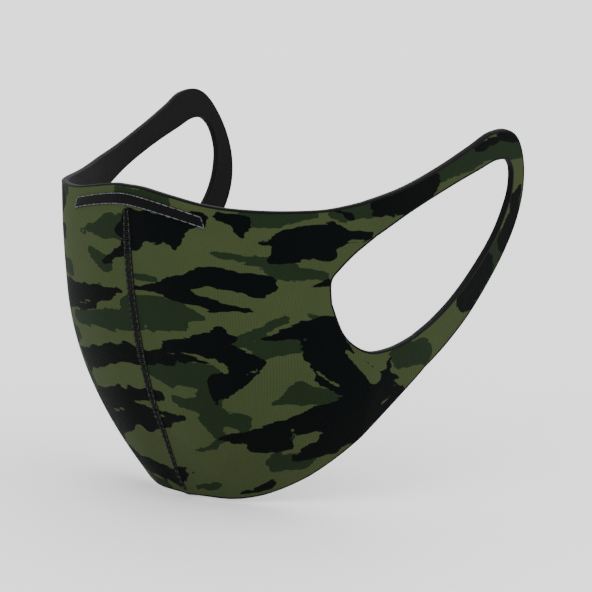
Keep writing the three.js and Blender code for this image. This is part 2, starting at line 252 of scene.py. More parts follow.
def clothGrids():
    # the front piece; and the cheek in four patches round the ear opening, with the loop behind them
    size, split = cloth["gridSize"], cut["splitAlong"]
    frontRows, upperRows, lowerRows, bandRows, armCount, loopCount = 104, 36, 56, 9, 26, 230
    s = np.linspace(0, split, round(split / size) + 1)
    front = [patch(onEdge(s, topHeight), onEdge(s, lowHeight), frontRows)]
    strip = np.linspace(split, cut["earFront"], round((cut["earFront"] - split) / size) + 1)
    top, low = onEdge(strip, topHeight), onEdge(strip, lowHeight)
    middle = np.stack([strip, strip * 0 + earFront[1]], -1)
    armTop = evenly(np.vstack([top[-1:], topLine[topLine[:, 0] > cut["earFront"]]]), armCount)
    armLow = evenly(np.vstack([low[-1:], lowLine[lowLine[:, 0] > cut["earFront"]]]), armCount)
    armAbove, armBelow = spacedSpline(openingTop, armCount), spacedSpline(openingLow, armCount)
    outer, inner = loopEdges(loopCount)
    rear = [patch(top, middle, upperRows), patch(middle, low, lowerRows),
            patch(armTop, armAbove, upperRows), patch(armBelow, armLow, lowerRows),
            patch(outer, inner, bandRows)]
    return front, rear


frontGrids, rearGrids = clothGrids()

# ---- meshes ----


def gridQuads(columns, rows):
    # the corner numbers of every square of a grid
    i, j = np.meshgrid(np.arange(columns - 1), np.arange(rows - 1), indexing="ij")
    a = (i * rows + j).ravel()
    return np.stack([a, a + 1, a + rows + 1, a + rows], -1)


def makeMesh(name, points, quads, uv=None, smoothAngle=50):
    # millimetres become metres, and edges sharper than smoothAngle stay crisp
    mesh = bpy.data.meshes.new(name)
    mesh.from_pydata((points * 0.001).astype(float), [], quads.tolist())
    mesh.update()
    if uv is not None:
        layer = mesh.uv_layers.new(name="cloth")
        layer.data.foreach_set("uv", (uv[quads.ravel()] * 0.001).astype(np.float32).ravel())
    mesh.shade_smooth()
    mesh.set_sharp_from_angle(angle=math.radians(smoothAngle))
    piece = bpy.data.objects.new(name, mesh)
    bpy.context.scene.collection.objects.link(piece)
    return piece


def sheetShell(grids, startDepth, endDepth, side):
    # the grids are welded where they meet and laid at both depths, and open edges get a wall
    flat, quads, count = [], [], 0
    for grid in grids:
        quads.append(gridQuads(*grid.shape[:2]) + count)
        flat.append(grid.reshape(-1, 2))
        count += grid.shape[0] * grid.shape[1]
    flat, quads = np.vstack(flat), np.vstack(quads)
    _, first, welded = np.unique(np.round(flat, 2), axis=0, return_index=True, return_inverse=True)
    pattern, quads = flat[first], welded.ravel()[quads]
    quads = np.where((crossSum(pattern[quads]) > 0)[:, None], quads, quads[:, ::-1])
    edges = np.stack([quads, np.roll(quads, -1, axis=1)], -1).reshape(-1, 2)
    key = np.sort(edges, axis=1)
    _, which, times = np.unique(key, axis=0, return_inverse=True, return_counts=True)
    rim = edges[times[which.ravel()] == 1]
    n = len(pattern)
    walls = np.stack([rim[:, 1], rim[:, 0], rim[:, 0] + n, rim[:, 1] + n], -1)
    points = np.vstack([clothPoint(pattern[:, 0], pattern[:, 1], d, side) for d in (startDepth, endDepth)])
    return outward(points, np.vstack([quads, quads[:, ::-1] + n, walls]), np.vstack([pattern, pattern]), side)


def crossSum(corners):
    # twice the signed area of each flat four-sided face
    x, y = corners[..., 0], corners[..., 1]
    return np.sum(x * np.roll(y, -1, axis=1) - np.roll(x, -1, axis=1) * y, axis=1)


def outward(points, faces, pattern, side=1):
    # a closed surface is turned so that its volume comes out positive; pattern carries s and z, with s
    # negative on the right
    a, b, c, d = (points[faces[:, k]] for k in range(4))
    volume = np.sum(a * np.cross(b, c)) + np.sum(a * np.cross(c, d))
    return points, faces if volume > 0 else faces[:, ::-1], pattern * np.array([side, 1])


def capQuads(first, sides):
    # an even-sided end as a strip of four-sided faces
    k = np.arange(sides // 2 - 1)
    return np.stack([k, k + 1, sides - 2 - k, sides - 1 - k], -1) + first


def inwardOf(line, closed):
    # square to the line in the pattern, towards the cloth; an outline runs clockwise, and so does an opening
    wrapped = np.vstack([line[-4:-1], line, line[1:4]]) if closed else line
    along = np.gradient(wrapped, axis=0)
    along = along[3:-3] if closed else along
    inward = np.stack([along[:, 1], -along[:, 0]], -1) * (-1 if closed else 1)
    return inward / np.linalg.norm(inward, axis=1, keepdims=True)


edge = dict(halfWidth=0.5, beyond=0.28, proud=0.12, sides=14)   # the thin black line round every edge


def edgeRoll(line, inward, closed, side):
    # a rounded section carried along an edge of the pattern, from the outer face round to the lining
    t = np.linspace(0, 2 * np.pi, edge["sides"], endpoint=False) + np.pi / edge["sides"]
    across = np.sign(np.cos(t)) * np.abs(np.cos(t)) ** 0.5 * edge["halfWidth"]
    across = across + edge["halfWidth"] - edge["beyond"]
    half = cloth["liningDepth"] / 2
    depth = np.sign(np.sin(t)) * np.abs(np.sin(t)) ** 0.6 * (half + edge["proud"]) + half
    line, inward = (line[:-1], inward[:-1]) if closed else (line, inward)
    place = line[:, None] + inward[:, None] * across[None, :, None]
    place[..., 0] = np.maximum(place[..., 0], 0)
    points = clothPoint(place[..., 0], place[..., 1], np.broadcast_to(depth, place.shape[:2]), side)
    faces = tubeQuads(len(line), len(t), closed)
    if not closed:
        faces = np.vstack([faces, capQuads(0, len(t))[:, ::-1], capQuads((len(line) - 1) * len(t), len(t))])
    return outward(points.reshape(-1, 3), faces, place.reshape(-1, 2), side)


def tubeQuads(rings, sides, closed):
    # the squares of a tube, round and along
    i, k = np.meshgrid(np.arange(rings if closed else rings - 1), np.arange(sides), indexing="ij")
    i, k, nextRing, nextSide = i.ravel(), k.ravel(), (i.ravel() + 1) % rings, (k.ravel() + 1) % sides
    near, far = i * sides, nextRing * sides
    return np.stack([near + k, near + nextSide, far + nextSide, far + k], -1)


def joinParts(parts):
    # one set of points and faces from several
    points, faces, uvs, count = [], [], [], 0
    for p, f, u in parts:
        points.append(p)
        faces.append(f + count)
        uvs.append(u)
        count += len(p)
    return np.vstack(points), np.vstack(faces), np.vstack(uvs)


# ---- threads, tape and wire ----
sewing = dict(threadRadius=0.21, rowAt=1.35, needlePitch=2.3, needleLength=1.1,
              needleTop=-9.2, needleLow=-121, casingPitch=2.75, casingLength=2.68, casingInset=0.28)
cover = dict(pitch=1.75, reach=1.7, top=-8.6, low=-121.4, depth=-0.16)
chain = dict(pitch=3.1, reach=1.7, top=-3.4, low=-119, depth=cloth["liningDepth"] + 0.2)
coverRadius, chainRadius = 0.25, 0.21
tape = dict(halfLength=36, halfWidth=2.2, height=0.85, sewnHeight=0.32, rimWidth=0.35, rimDrop=0.25,
            endRound=0.6, under=0.35)
wire = dict(halfLength=33.5, halfWidth=1.1, thickness=0.5, lift=0.33, drop=5.0, endDrop=5.4)


def threadTubes(paths, radius, sides=6, pinch=True):
    # paths is (stitch, step, xyz); each step carries a ring square to the path, and the ends of a stitch
    # are pinched
    count, steps = paths.shape[:2]
    ahead = np.gradient(paths, axis=1)
    ahead /= np.linalg.norm(ahead, axis=2, keepdims=True)
    across = np.cross(ahead, np.array([0.31, -0.9, 0.3]))
    across /= np.linalg.norm(across, axis=2, keepdims=True)
    over = np.cross(ahead, across)
    t = np.linspace(0, 2 * np.pi, sides, endpoint=False)
    size = radius * np.ones(steps)
    if pinch:
        size[[0, -1]] *= 0.15
    ring = across[:, :, None] * np.cos(t)[:, None] + over[:, :, None] * np.sin(t)[:, None]
    points = (paths[:, :, None] + ring * size[:, None, None]).reshape(-1, 3)
    one = np.vstack([tubeQuads(steps, sides, False), capQuads(0, sides)[:, ::-1],
                     capQuads((steps - 1) * sides, sides)])
    faces = (one[None] + (np.arange(count) * steps * sides)[:, None, None]).reshape(-1, 4)
    return outward(points, faces, points[:, [0, 2]])


def needleRow(side):
    # short stitches down the outside beside the seam, each arched out of the cloth between its two holes
    z = np.arange(sewing["needleTop"], sewing["needleLow"], -sewing["needlePitch"])
    t = np.linspace(0, 1, 6)
    at = z[:, None] - t * sewing["needleLength"]
    lift = 0.1 + 0.3 * np.sin(np.pi * t) ** 0.7
    s = np.full_like(at, sewing["rowAt"])
    return threadTubes(clothPoint(s, at, -np.broadcast_to(lift, at.shape), side), sewing["threadRadius"])


def seamPoint(across, z, depth):
    # beside the centre seam on either half
    left = clothPoint(np.abs(across), z, depth, 1)
    right = clothPoint(np.abs(across), z, depth, -1)
    return np.where((across >= 0)[..., None], left, right)


def serpentine(phase, pitch, reach, top, low, depth):
    # one thread that swings from side to side as it runs down, squared off towards the turns
    z = np.linspace(top, low, 1500)
    swing = np.sin(2 * np.pi * z / pitch + phase)
    across = reach * np.sign(swing) * np.abs(swing) ** 0.55
    lift = depth - np.sign(depth) * 0.12 * np.cos(4 * np.pi * z / pitch + phase)
    return seamPoint(across, z, lift)[None]


def seamStitch(radius, way):
    # two threads that cross at every swing, all the way down the seam
    return joinParts([threadTubes(serpentine(phase, **way), radius, pinch=False) for phase in (0, math.pi)])


def casingStitches(side):
    # stitches along both long edges of the tape and across its end
    inset, halfLength = sewing["casingInset"], tape["halfLength"]
    s = np.arange(0.25, halfLength - 2.0, sewing["casingPitch"])
    t = np.linspace(0, 1, 6)
    run = s[:, None] + t * sewing["casingLength"]
    high = np.stack([run, wireHeight(run) + tape["halfWidth"] - inset], -1)
    low = np.stack([run, wireHeight(run) - tape["halfWidth"] + inset], -1)
    endAt, reach = halfLength - inset, tape["halfWidth"] - inset
    endZ = wireHeight(endAt) + np.array([[-0.9], [0.1]]) * reach + t * 0.8 * reach
    close = np.stack([np.full_like(endZ, endAt), endZ], -1)
    flat = np.concatenate([high, low, close])
    across = flat[..., 1] - wireHeight(flat[..., 0])
    lift = -(tapeHeight(flat[..., 0], across) + 0.02 + 0.22 * np.sin(np.pi * t) ** 0.7)
    return threadTubes(clothPoint(flat[..., 0], flat[..., 1], lift, side), sewing["threadRadius"])


def tapeHeight(s, across):
    # how far the tape stands off the cloth: a raised band over the wire, sunk edges where it is sewn, and
    # rounded rims
    overWire = 1 - fade(wire["halfWidth"], tape["halfWidth"] - 0.55, np.abs(across))
    overWire = overWire * (1 - fade(wire["halfLength"] - 0.4, wire["halfLength"] + 1.2, s))
    toRim = np.minimum(tape["halfWidth"] - np.abs(across), tape["halfLength"] - s)
    rim = np.clip(toRim / tape["rimWidth"], 0, 1)
    rounding = 1 - np.sqrt(np.clip(1 - (1 - rim) ** 2, 0, 1))
    return tape["sewnHeight"] + (tape["height"] - tape["sewnHeight"]) * overWire - tape["rimDrop"] * rounding


def noseTape(side):
    # the upper face follows tapeHeight, and the lower face lies just in the cloth
    s = np.linspace(0, tape["halfLength"], 78)
    share = np.sin(np.linspace(-np.pi / 2, np.pi / 2, 17))
    corner = np.clip((tape["halfLength"] - s) / tape["endRound"], 0, 1)
    half = tape["halfWidth"] - tape["endRound"] * (1 - np.sqrt(1 - (1 - corner) ** 2))
    across = half[:, None] * share
    along = np.broadcast_to(s[:, None], across.shape)
    z = wireHeight(along) + across
    top = clothPoint(along, z, -tapeHeight(along, across), side)
    under = clothPoint(along, z, tape["under"] + 0 * along, side)
    return shellOf(top, under, np.stack([along, z], -1).reshape(-1, 2), side)


def wireStrip(side):
    # a flat strip with rounded edges and ends, inside the tape
    s = np.linspace(0, wire["halfLength"], 60)
    t = np.linspace(0, 2 * np.pi, 12, endpoint=False) + np.pi / 12
    across = np.sign(np.cos(t)) * np.abs(np.cos(t)) ** 0.4 * wire["halfWidth"]
    height = np.sign(np.sin(t)) * np.abs(np.sin(t)) ** 0.4 * wire["thickness"] / 2 + wire["lift"]
    shrink = np.sqrt(np.clip(1 - np.clip((s - wire["halfLength"] + 1) / 1.02, 0, 1) ** 2, 0.01, 1))
    place = np.broadcast_to(s[:, None], (len(s), len(t)))
    z = wireHeight(place) + across * shrink[:, None]
    points = clothPoint(place, z, -np.broadcast_to(height, place.shape), side).reshape(-1, 3)
    faces = np.vstack([tubeQuads(len(s), len(t), False), capQuads(0, len(t))[:, ::-1],
                       capQuads((len(s) - 1) * len(t), len(t))])
    return outward(points, faces, np.stack([place, z], -1).reshape(-1, 2), side)


def shellOf(top, under, pattern, side):
    # a closed shell from two grids with the same rim
    rows, columns = top.shape[:2]
    n = rows * columns
    faces = gridQuads(rows, columns)
    grid = np.arange(n).reshape(rows, columns)
    rim = np.concatenate([grid[:-1, 0], grid[-1, :-1], grid[:0:-1, -1], grid[0, :0:-1]])
    walls = np.stack([rim, np.roll(rim, -1), np.roll(rim, -1) + n, rim + n], -1)
    points = np.vstack([top.reshape(-1, 3), under.reshape(-1, 3)])
    return outward(points, np.vstack([faces[:, ::-1], faces + n, walls]), np.vstack([pattern, pattern]), side)


# ---- the camo print ----
# Brush strokes on the flat cloth: from s, z with a radius to s, z with a radius. s is positive on the
# left half and negative on the right.
blackStrokes = [
    (0, -13, 4, 34, -10, 3.2), (-3, -17, 3.6, 22, -15, 4.2), (24, -14, 4, 21, -21, 0.8),
    (6, -19, 3, -13, -30, 1.2), (1, -38, 0.4, 18, -37, 3.0), (18, -36, 3.4, 32, -31, 3.6),
    (32, -31, 3.6, 54, -33.5, 4.1), (18, -38, 2, 34, -41, 2.2), (34, -41, 2.2, 48, -43.5, 0.7),
    (50, -36, 2.2, 54, -38.5, 0.8), (54, -19, 0.6, 64, -16.5, 2.6), (64, -17, 4.2, 84, -15.5, 3.6),
    (60, -22, 2.8, 80, -22, 3.8), (84, -18.5, 3.2, 99, -18.8, 1.2), (57, -25, 0.8, 66, -24, 2.4),
    (42, -8, 1.5, 50, -11, 2.2), (47, -12, 1.4, 48, -16, 0.8), (0, -66, 2.6, 14, -63.5, 3.8),
    (14, -60, 2.6, 36, -53, 3), (20, -62, 3.4, 36, -58, 4.6), (36, -53, 2.6, 40.5, -54, 1.2),
    (38, -60, 3.4, 46, -64, 4.2), (44, -65, 4.4, 36, -74, 4.4), (34, -72, 4, 33, -79, 1.6),
    (42, -63, 2.6, 50, -62.5, 1.4), (51, -53.5, 0.6, 66, -51.5, 3), (66, -53, 3.6, 76, -51, 4.2),
    (70, -58, 6.4, 75, -66, 7.2), (75, -66, 7.2, 90, -77, 7.6), (88, -76, 5, 100, -75, 3.6),
    (97, -74, 2.4, 99.5, -66, 1), (80, -60, 3, 77, -50, 1.6), (34, -96, 0.8, 52, -93.5, 3.2),
    (50, -94, 3.6, 72, -86, 5), (72, -86, 5.4, 90, -84, 8), (76, -96, 4, 88, -93, 5),
    (90, -87, 6, 104, -79, 3.4), (58, -52, 1.4, 72, -50, 3), (48, -99.5, 1.6, 62, -97.5, 2.6),
    (49, -120, 1, 60, -116, 2.2), (68, -102, 3, 80, -98, 4), (-44, -74, 4.4, -8, -64.5, 3.6),
    (-8, -64.5, 3.6, 3, -65, 3), (-24, -45, 4.2, -4, -39.5, 0.8), (-60, -50, 7, -24, -46, 4.6),
    (-50, -97, 10, -20, -88, 8), (-12, -82, 3, 6, -80.5, 2), (-18, -90, 4.4, 17, -89, 1.2),
    (-12, -94, 3.4, 6, -93, 1.4), (-44, -112, 4, -6, -117, 4), (-8, -117, 3.6, 18, -112.5, 0.7),
    (-2, -114, 1.6, 13, -110.5, 0.7), (105, -9, 3.8, 122, -7.5, 5.6), (122, -7, 5.6, 133, -2, 5),
    (133, -2, 4, 138, -2.6, 0.6), (160, 7, 1.2, 172, 9, 2.2), (174, 10.5, 1.6, 186, 9, 3),
    (188, -11, 0.8, 183, -18, 3.6), (183, -24, 5, 176, -33, 5), (162, -41, 5.4, 146, -51, 6),
    (86, -8, 0.8, 92, -11, 1.2), (71, -35, 0.5, 78, -34, 1.4), (-70, -16, 1, -52, -13, 5),
    (-92, -20, 4, -74, -18, 4.4), (-104, -14, 3, -90, -21, 4.4), (-62, -27, 1, -46, -24, 3.2),
    (-78, -36, 3.4, -60, -33, 3.6), (-60, -33, 3.6, -47, -35, 1), (-86, -62, 5, -70, -57, 4),
    (-70, -57, 4, -58, -60, 1.2), (-110, -72, 5, -92, -74, 6.4), (-92, -74, 6, -78, -82, 3),
    (-80, -97, 5, -62, -93, 4.6), (-62, -93, 4.4, -54, -90, 2), (-70, -110, 3.4, -56, -113, 4.4),
    (-56, -113, 3, -48, -119, 2), (-84, -50, 1, -79, -44, 2), (-126, -3, 5, -112, -8, 6),
    (-150, 4, 4, -138, 2, 5), (-178, 8, 4, -168, 10, 4), (-187, -2, 4, -184, -14, 4),
    (-178, -34, 5, -166, -42, 5), (-150, -52, 5, -136, -57, 5), (-124, -62, 4, -114, -68, 4)]
greenStrokes = [
    (-8, -3, 3, 24, -4, 2.4), (50, -9.5, 3, 62, -10, 2.6), (62, -9.5, 2.4, 77, -9, 1.6),
    (86, -9.5, 2.8, 101, -8.5, 3.4), (-28, -21, 0.8, -12, -16, 4), (-12, -16, 4.4, -1, -16, 4.6),
    (-20, -28, 2.6, -11, -31, 2.8), (35, -22, 1, 52, -24, 1.6), (50, -24.5, 1.8, 64, -28, 3.6),
    (58, -29, 3.2, 77, -31.5, 1.2), (0, -33, 1.4, 12, -34, 1.2), (0, -46.5, 6, 20, -45, 5),
    (20, -45, 4.4, 31, -47.5, 0.8), (8, -52, 2.4, 22, -50, 2), (-40, -57, 2.4, -14, -52.5, 3.8),
    (-14, -52.5, 3.8, 0, -50, 5), (60, -46, 1.6, 42, -55, 2), (2, -70.5, 2, 12, -72, 3.8),
    (12, -69, 4.8, 30, -70, 6), (31, -72, 6, 30, -86, 4.6), (14, -81, 2.2, 30, -83, 3),
    (32, -86, 3.8, 34, -95, 2.6), (32, -87, 3, 44, -87.5, 2.6), (44, -87.5, 2.4, 45, -94, 1.4),
    (34, -95.5, 1.8, 44, -94.5, 1.2), (22, -102, 0.9, 33, -99.5, 1.4), (54, -80, 1, 62, -75, 3.6),
    (62, -76, 4.2, 78, -79, 3), (47, -57.5, 2, 62, -55.5, 4.2), (46, -62, 2, 56, -57, 2.8),
    (79, -49, 0.8, 68, -46, 1.2), (57, -105, 1.2, 62, -93, 1.4), (60, -106, 3.4, 70, -104, 4),
    (20, -119, 1, 36, -117.5, 2), (104, -66, 4.4, 117, -66, 5.4), (139, 0.5, 4, 158, 5, 5),
    (158, 5, 4.6, 172, 5, 4), (187, 4, 5, 176, 5, 4), (173, -33, 5, 162, -41, 4.6),
    (187, -18, 2, 184, -24, 2), (-60, -8, 3, -48, -8, 3), (-100, -10, 4, -84, -12, 3.4),
    (-76, -26, 2, -56, -22, 3), (-60, -40, 3, -40, -37, 3.6), (-96, -66, 4, -80, -68, 4),
    (-74, -70, 4.4, -60, -68, 5), (-60, -68, 5, -44, -64, 3), (-60, -82, 4, -46, -82, 4),
    (-78, -88, 3.4, -60, -84, 3), (-60, -104, 4, -44, -102, 3), (-40, -120, 2, -24, -121, 2),
    (-140, -1, 5, -128, -3, 4), (-166, 8, 4, -152, 6, 4), (-188, 4, 4, -180, 8, 4),
    (-186, -20, 4, -180, -30, 5), (-164, -44, 5, -152, -50, 4), (-122, -60, 4, -104, -66, 5)]


# Slivers of the colours beneath that show through the black.
sliverStrokes = [
    (29, -36.4, 0.7, 38, -39.4, 0.4), (27, -62.2, 0.5, 33, -63.4, 0.9), (33, -63.4, 0.9, 37, -66.8, 1.3),
    (13, -61.6, 0.3, 27, -61.6, 0.4), (66, -53.6, 0.4, 61.5, -60, 0.7), (69, -67.5, 0.4, 77, -74, 0.5),
    (80.5, -60.5, 0.8, 92, -72, 2.9), (101, -74.5, 0.5, 105.5, -77, 1.2), (96, -84, 0.3, 101, -80.5, 0.5),
    (62, -91, 0.6, 66, -101, 1.2), (89, -19.8, 0.4, 96, -20.4, 0.5), (-3, -90.4, 0.3, 5, -89, 0.5),
    (22, -10.2, 0.3, 30, -8.6, 0.5), (44, -68, 0.3, 48, -66, 0.6), (112, -4.4, 0.2, 118, -3.2, 0.4),
    (-34, -50, 0.3, -25, -47.6, 0.6), (-36, -93, 0.3, -24, -90, 0.6), (-76, -18, 0.4, -68, -17, 0.6),
    (-98, -76, 0.5, -90, -72, 1), (-74, -57, 0.3, -66, -55, 0.6), (-72, -96, 0.3, -64, -94.4, 0.6),
    (-150, 2, 0.3, -142, 4, 0.6)]


def strokeField(strokes, s, z):
    # millimetres inside the nearest stroke: its tapering radius less the distance to its line, softly joined
    a = np.array(strokes, float)
    way = a[:, 3:5] - a[:, 0:2]
    share = ((s[:, None] - a[:, 0]) * way[:, 0] + (z[:, None] - a[:, 1]) * way[:, 1]) / np.sum(way ** 2, 1)
    share = np.clip(share, 0, 1)
    away = np.hypot(s[:, None] - a[:, 0] - way[:, 0] * share, z[:, None] - a[:, 1] - way[:, 1] * share)
    inside = a[:, 2] + (a[:, 5] - a[:, 2]) * share - away
    return 0.7 * np.log(np.sum(np.exp(np.clip(inside, -30, 12) / 0.7), 1))


def addPrint(piece, pattern):
    # the printed colours as smooth fields that the material cuts to a crisp edge
    prints = dict(blackPrint=blackStrokes, greenPrint=greenStrokes, sliverPrint=sliverStrokes)
    for name, strokes in prints.items():
        field = piece.data.attributes.new(name, "FLOAT", "POINT")
        field.data.foreach_set("value", strokeField(strokes, pattern[:, 0], pattern[:, 1]).astype(np.float32))


# ---- materials ----
def srgb(code):
    # a hex colour as linear light
    c = np.array([int(code[k:k + 2], 16) for k in (1, 3, 5)]) / 255
    return (*np.where(c <= 0.04045, c / 12.92, ((c + 0.055) / 1.055) ** 2.4).tolist(), 1.0)


def addNode(tree, kind, inputs=None, out=0, **settings):
    # a node with its settings, which gives back one of its outputs; an input is a value or another
    # node's output
    node = tree.nodes.new("ShaderNode" + kind)
    for key, value in settings.items():
        setattr(node, key, value)
    for key, value in (inputs or {}).items():
        if isinstance(value, bpy.types.NodeSocket):
            tree.links.new(value, node.inputs[key])
        else:
            node.inputs[key].default_value = value
    return node.outputs[out]


def newMaterial(name, **values):
    # a Principled surface: fixed values sit on its own sockets, named here in camelCase
    material = bpy.data.materials.new(name)
    material.use_nodes = True
    tree = material.node_tree
    shader = tree.nodes["Principled BSDF"]
    sockets = dict(roughness="Roughness", metallic="Metallic", sheen="Sheen Weight",
                   gloss="Specular IOR Level", colour="Base Color")
    for key, value in values.items():
        shader.inputs[sockets[key]].default_value = value
    return material, tree, shader


def finish(tree, shader, colour, shadeAndTone, height, strength, depth):
    # the colour scaled by the painted shade and tone, and a bump from the height; strength is 0 to 1 and
    # depth is in mm
    shade = addNode(tree, "VectorMath", {0: colour, 3: shadeAndTone}, operation="SCALE")
    bump = addNode(tree, "Bump", {"Height": height, "Strength": strength, "Distance": depth * 0.001})
    tree.links.new(shade, shader.inputs["Base Color"])
    tree.links.new(bump, shader.inputs["Normal"])


def knitHeight(tree, wale, course):
    # columns of V-shaped loops: a rounded rib for each wale, notched where one loop enters the next
    uv = addNode(tree, "UVMap", uv_map="cloth")
    along = addNode(tree, "SeparateXYZ", {0: uv})
    wales = addNode(tree, "Math", {0: along, 1: wale * 0.001}, operation="DIVIDE")
    courses = addNode(tree, "Math", {0: along.node.outputs[1], 1: course * 0.001}, operation="DIVIDE")
    column = addNode(tree, "Math", {0: wales}, operation="FRACT")
    offMiddle = addNode(tree, "Math", {0: column, 1: 0.5}, operation="SUBTRACT")
    fromMiddle = addNode(tree, "Math", {0: offMiddle}, operation="ABSOLUTE")
    slant = addNode(tree, "Math", {0: fromMiddle, 1: 0.8, 2: courses}, operation="MULTIPLY_ADD")
    turns = addNode(tree, "Math", {0: slant, 1: 2 * math.pi}, operation="MULTIPLY")
    notch = addNode(tree, "Math", {0: turns}, operation="SINE")
    bend = addNode(tree, "Math", {0: fromMiddle, 1: 2 * math.pi * 0.9}, operation="MULTIPLY")
    rib = addNode(tree, "Math", {0: bend}, operation="COSINE")
    return addNode(tree, "Math", {0: notch, 1: 0.35, 2: rib}, operation="MULTIPLY_ADD"), uv


def camoKnit():
    # printed polyester interlock: matt, with a faint bloom at grazing light and a fine face of ribs whose
    # grooves are painted darker as painted shade
    # real wales are about 0.5 mm apart; they are drawn twice as coarse so that they show
    look = dict(olive="#2F3720", green="#141F11", black="#010303", wale=1.05, course=1.2,
                edgeRagged=5.2, edgeFringe=1.5, edgeSoft=0.09, cloudy=0.22, grooveShade=0.07,
                blot=(0.0095, 0.0034), tuft=(0.0032, 0.0011))
    material, tree, shader = newMaterial("printedInterlockKnit", roughness=0.9, sheen=0.01, gloss=0.05)
    height, uv = knitHeight(tree, look["wale"], look["course"])
    # the fields' edges are broken up by wide flat blots and by a fringe of small tufts
    flow = addNode(tree, "Mapping", {0: uv, 3: (1 / look["blot"][0], 1 / look["blot"][1], 1)})
    fringe = addNode(tree, "Mapping", {0: uv, 3: (1 / look["tuft"][0], 1 / look["tuft"][1], 1)})
    soft = look["edgeSoft"]
    masks = {}
    colours = (("blackPrint", 3.7, 1), ("greenPrint", 11.3, 1), ("sliverPrint", 11.3, 0.15))
    for name, offset, wander in colours:
        field = addNode(tree, "Attribute", out="Fac", attribute_name=name)
        layers = ((flow, 2.0, look["edgeRagged"] * wander), (fringe, 1.0, look["edgeFringe"]))
        for place, detail, reach in layers:
            noise = addNode(tree, "TexNoise", {"Vector": place, "W": offset, "Scale": 1.0, "Detail": detail},
                            noise_dimensions="4D")
            swing = addNode(tree, "Math", {0: noise, 1: 0.5}, operation="SUBTRACT")
            field = addNode(tree, "Math", {0: swing, 1: reach, 2: field}, operation="MULTIPLY_ADD")
        masks[name] = addNode(tree, "MapRange", {0: field, 1: -soft, 2: soft, 3: 0.0, 4: 1.0})
    uncovered = addNode(tree, "Math", {0: 1.0, 1: masks["sliverPrint"]}, operation="SUBTRACT")
    black = addNode(tree, "Math", {0: masks["blackPrint"], 1: uncovered}, operation="MULTIPLY")
    ground = addNode(tree, "Mix", {0: masks["greenPrint"], 6: srgb(look["olive"]), 7: srgb(look["green"])},
                     out=2, data_type="RGBA")
    colour = addNode(tree, "Mix", {0: black, 6: ground, 7: srgb(look["black"])}, out=2, data_type="RGBA")
    cloud = addNode(tree, "TexNoise", {"Vector": uv, "Scale": 45.0, "Detail": 3.0})
    # painted shade: the colour follows the knit's height and is darker in its grooves; the cloud noise is a
    # random tone
    shadeAndTone = addNode(tree, "Math", {0: height, 1: look["grooveShade"], 2: 0.86}, operation="MULTIPLY_ADD")
    shadeAndTone = addNode(tree, "Math", {0: cloud, 1: look["cloudy"], 2: shadeAndTone}, operation="MULTIPLY_ADD")
    finish(tree, shader, colour, shadeAndTone, height, 0.35, 0.12)
    return material


def plainKnit():
    # dyed interlock: near black and matt, its wales just catching the light, with painted shade darkening the
    # grooves between them
    look = dict(black="#050506", wale=1.05, course=1.2, cloudy=0.5, grooveShade=0.15)
    material, tree, shader = newMaterial("blackInterlockKnit", roughness=0.8, sheen=0.02, gloss=0.08)
    height, uv = knitHeight(tree, look["wale"], look["course"])
    cloud = addNode(tree, "TexNoise", {"Vector": uv, "Scale": 60.0, "Detail": 3.0})
    # painted shade: the colour follows the knit's height and is darker in its grooves; the cloud noise is a
    # random tone
    shadeAndTone = addNode(tree, "Math", {0: height, 1: look["grooveShade"], 2: 0.75}, operation="MULTIPLY_ADD")
    shadeAndTone = addNode(tree, "Math", {0: cloud, 1: look["cloudy"], 2: shadeAndTone}, operation="MULTIPLY_ADD")
    finish(tree, shader, srgb(look["black"])[:3], shadeAndTone, height, 0.35, 0.1)
    return material


def twistedThread(name, colour, twist=0.9):
    # spun polyester thread: a slight gloss broken by its twist, one turn in 0.9 mm, with its raised bands
    # painted lighter and its grooves painted darker as painted highlight and shade
    material, tree, shader = newMaterial(name, roughness=0.7, gloss=0.15)
    place = addNode(tree, "TexCoord", out="Object")
    turned = addNode(tree, "Mapping", {0: place, 2: (0.5, 0.6, 0.4)})
    bands = addNode(tree, "TexWave", {"Vector": turned, "Scale": 50 / twist, "Distortion": 2.0}, out=1)
    # painted highlight and shade: the colour follows the twist's bands, lighter where they stand up and
    # darker in the grooves
    shadeAndTone = addNode(tree, "Math", {0: bands, 1: 0.45, 2: 0.7}, operation="MULTIPLY_ADD")
    finish(tree, shader, srgb(colour)[:3], shadeAndTone, bands, 0.4, 0.05)
    return material


def wovenTape():
    # twill tape: black, fine slanting ribs three quarters of a millimetre apart, their grooves painted darker
    # as painted shade
    look = dict(black="#020203", rib=0.75)
    material, tree, shader = newMaterial("blackTwillTape", roughness=0.8, sheen=0.01, gloss=0.08)
    place = addNode(tree, "UVMap", uv_map="cloth")
    slant = addNode(tree, "Mapping", {0: place, 2: (0, 0, 0.9)})
    ribs = addNode(tree, "TexWave", {"Vector": slant, "Scale": 50 / look["rib"], "Distortion": 0.4}, out=1)
    # painted shade: the colour follows the ribs' height and is darker in their grooves
    shadeAndTone = addNode(tree, "Math", {0: ribs, 1: 0.5, 2: 0.75}, operation="MULTIPLY_ADD")
    finish(tree, shader, srgb(look["black"])[:3], shadeAndTone, ribs, 0.5, 0.08)
    return material


def bentAluminium():
    # soft aluminium strip: dull silver with rolling lines along it
    material, tree, shader = newMaterial("rolledAluminium", metallic=1.0, colour=srgb("#B9BCBF"))
    place = addNode(tree, "TexCoord", out="Object")
    drawn = addNode(tree, "Mapping", {0: place, 3: (40, 40, 2500)})
    lines = addNode(tree, "TexNoise", {"Vector": drawn, "Scale": 1.0})
    rough = addNode(tree, "Math", {0: lines, 1: 0.25, 2: 0.28}, operation="MULTIPLY_ADD")
    tree.links.new(rough, shader.inputs["Roughness"])
    return material


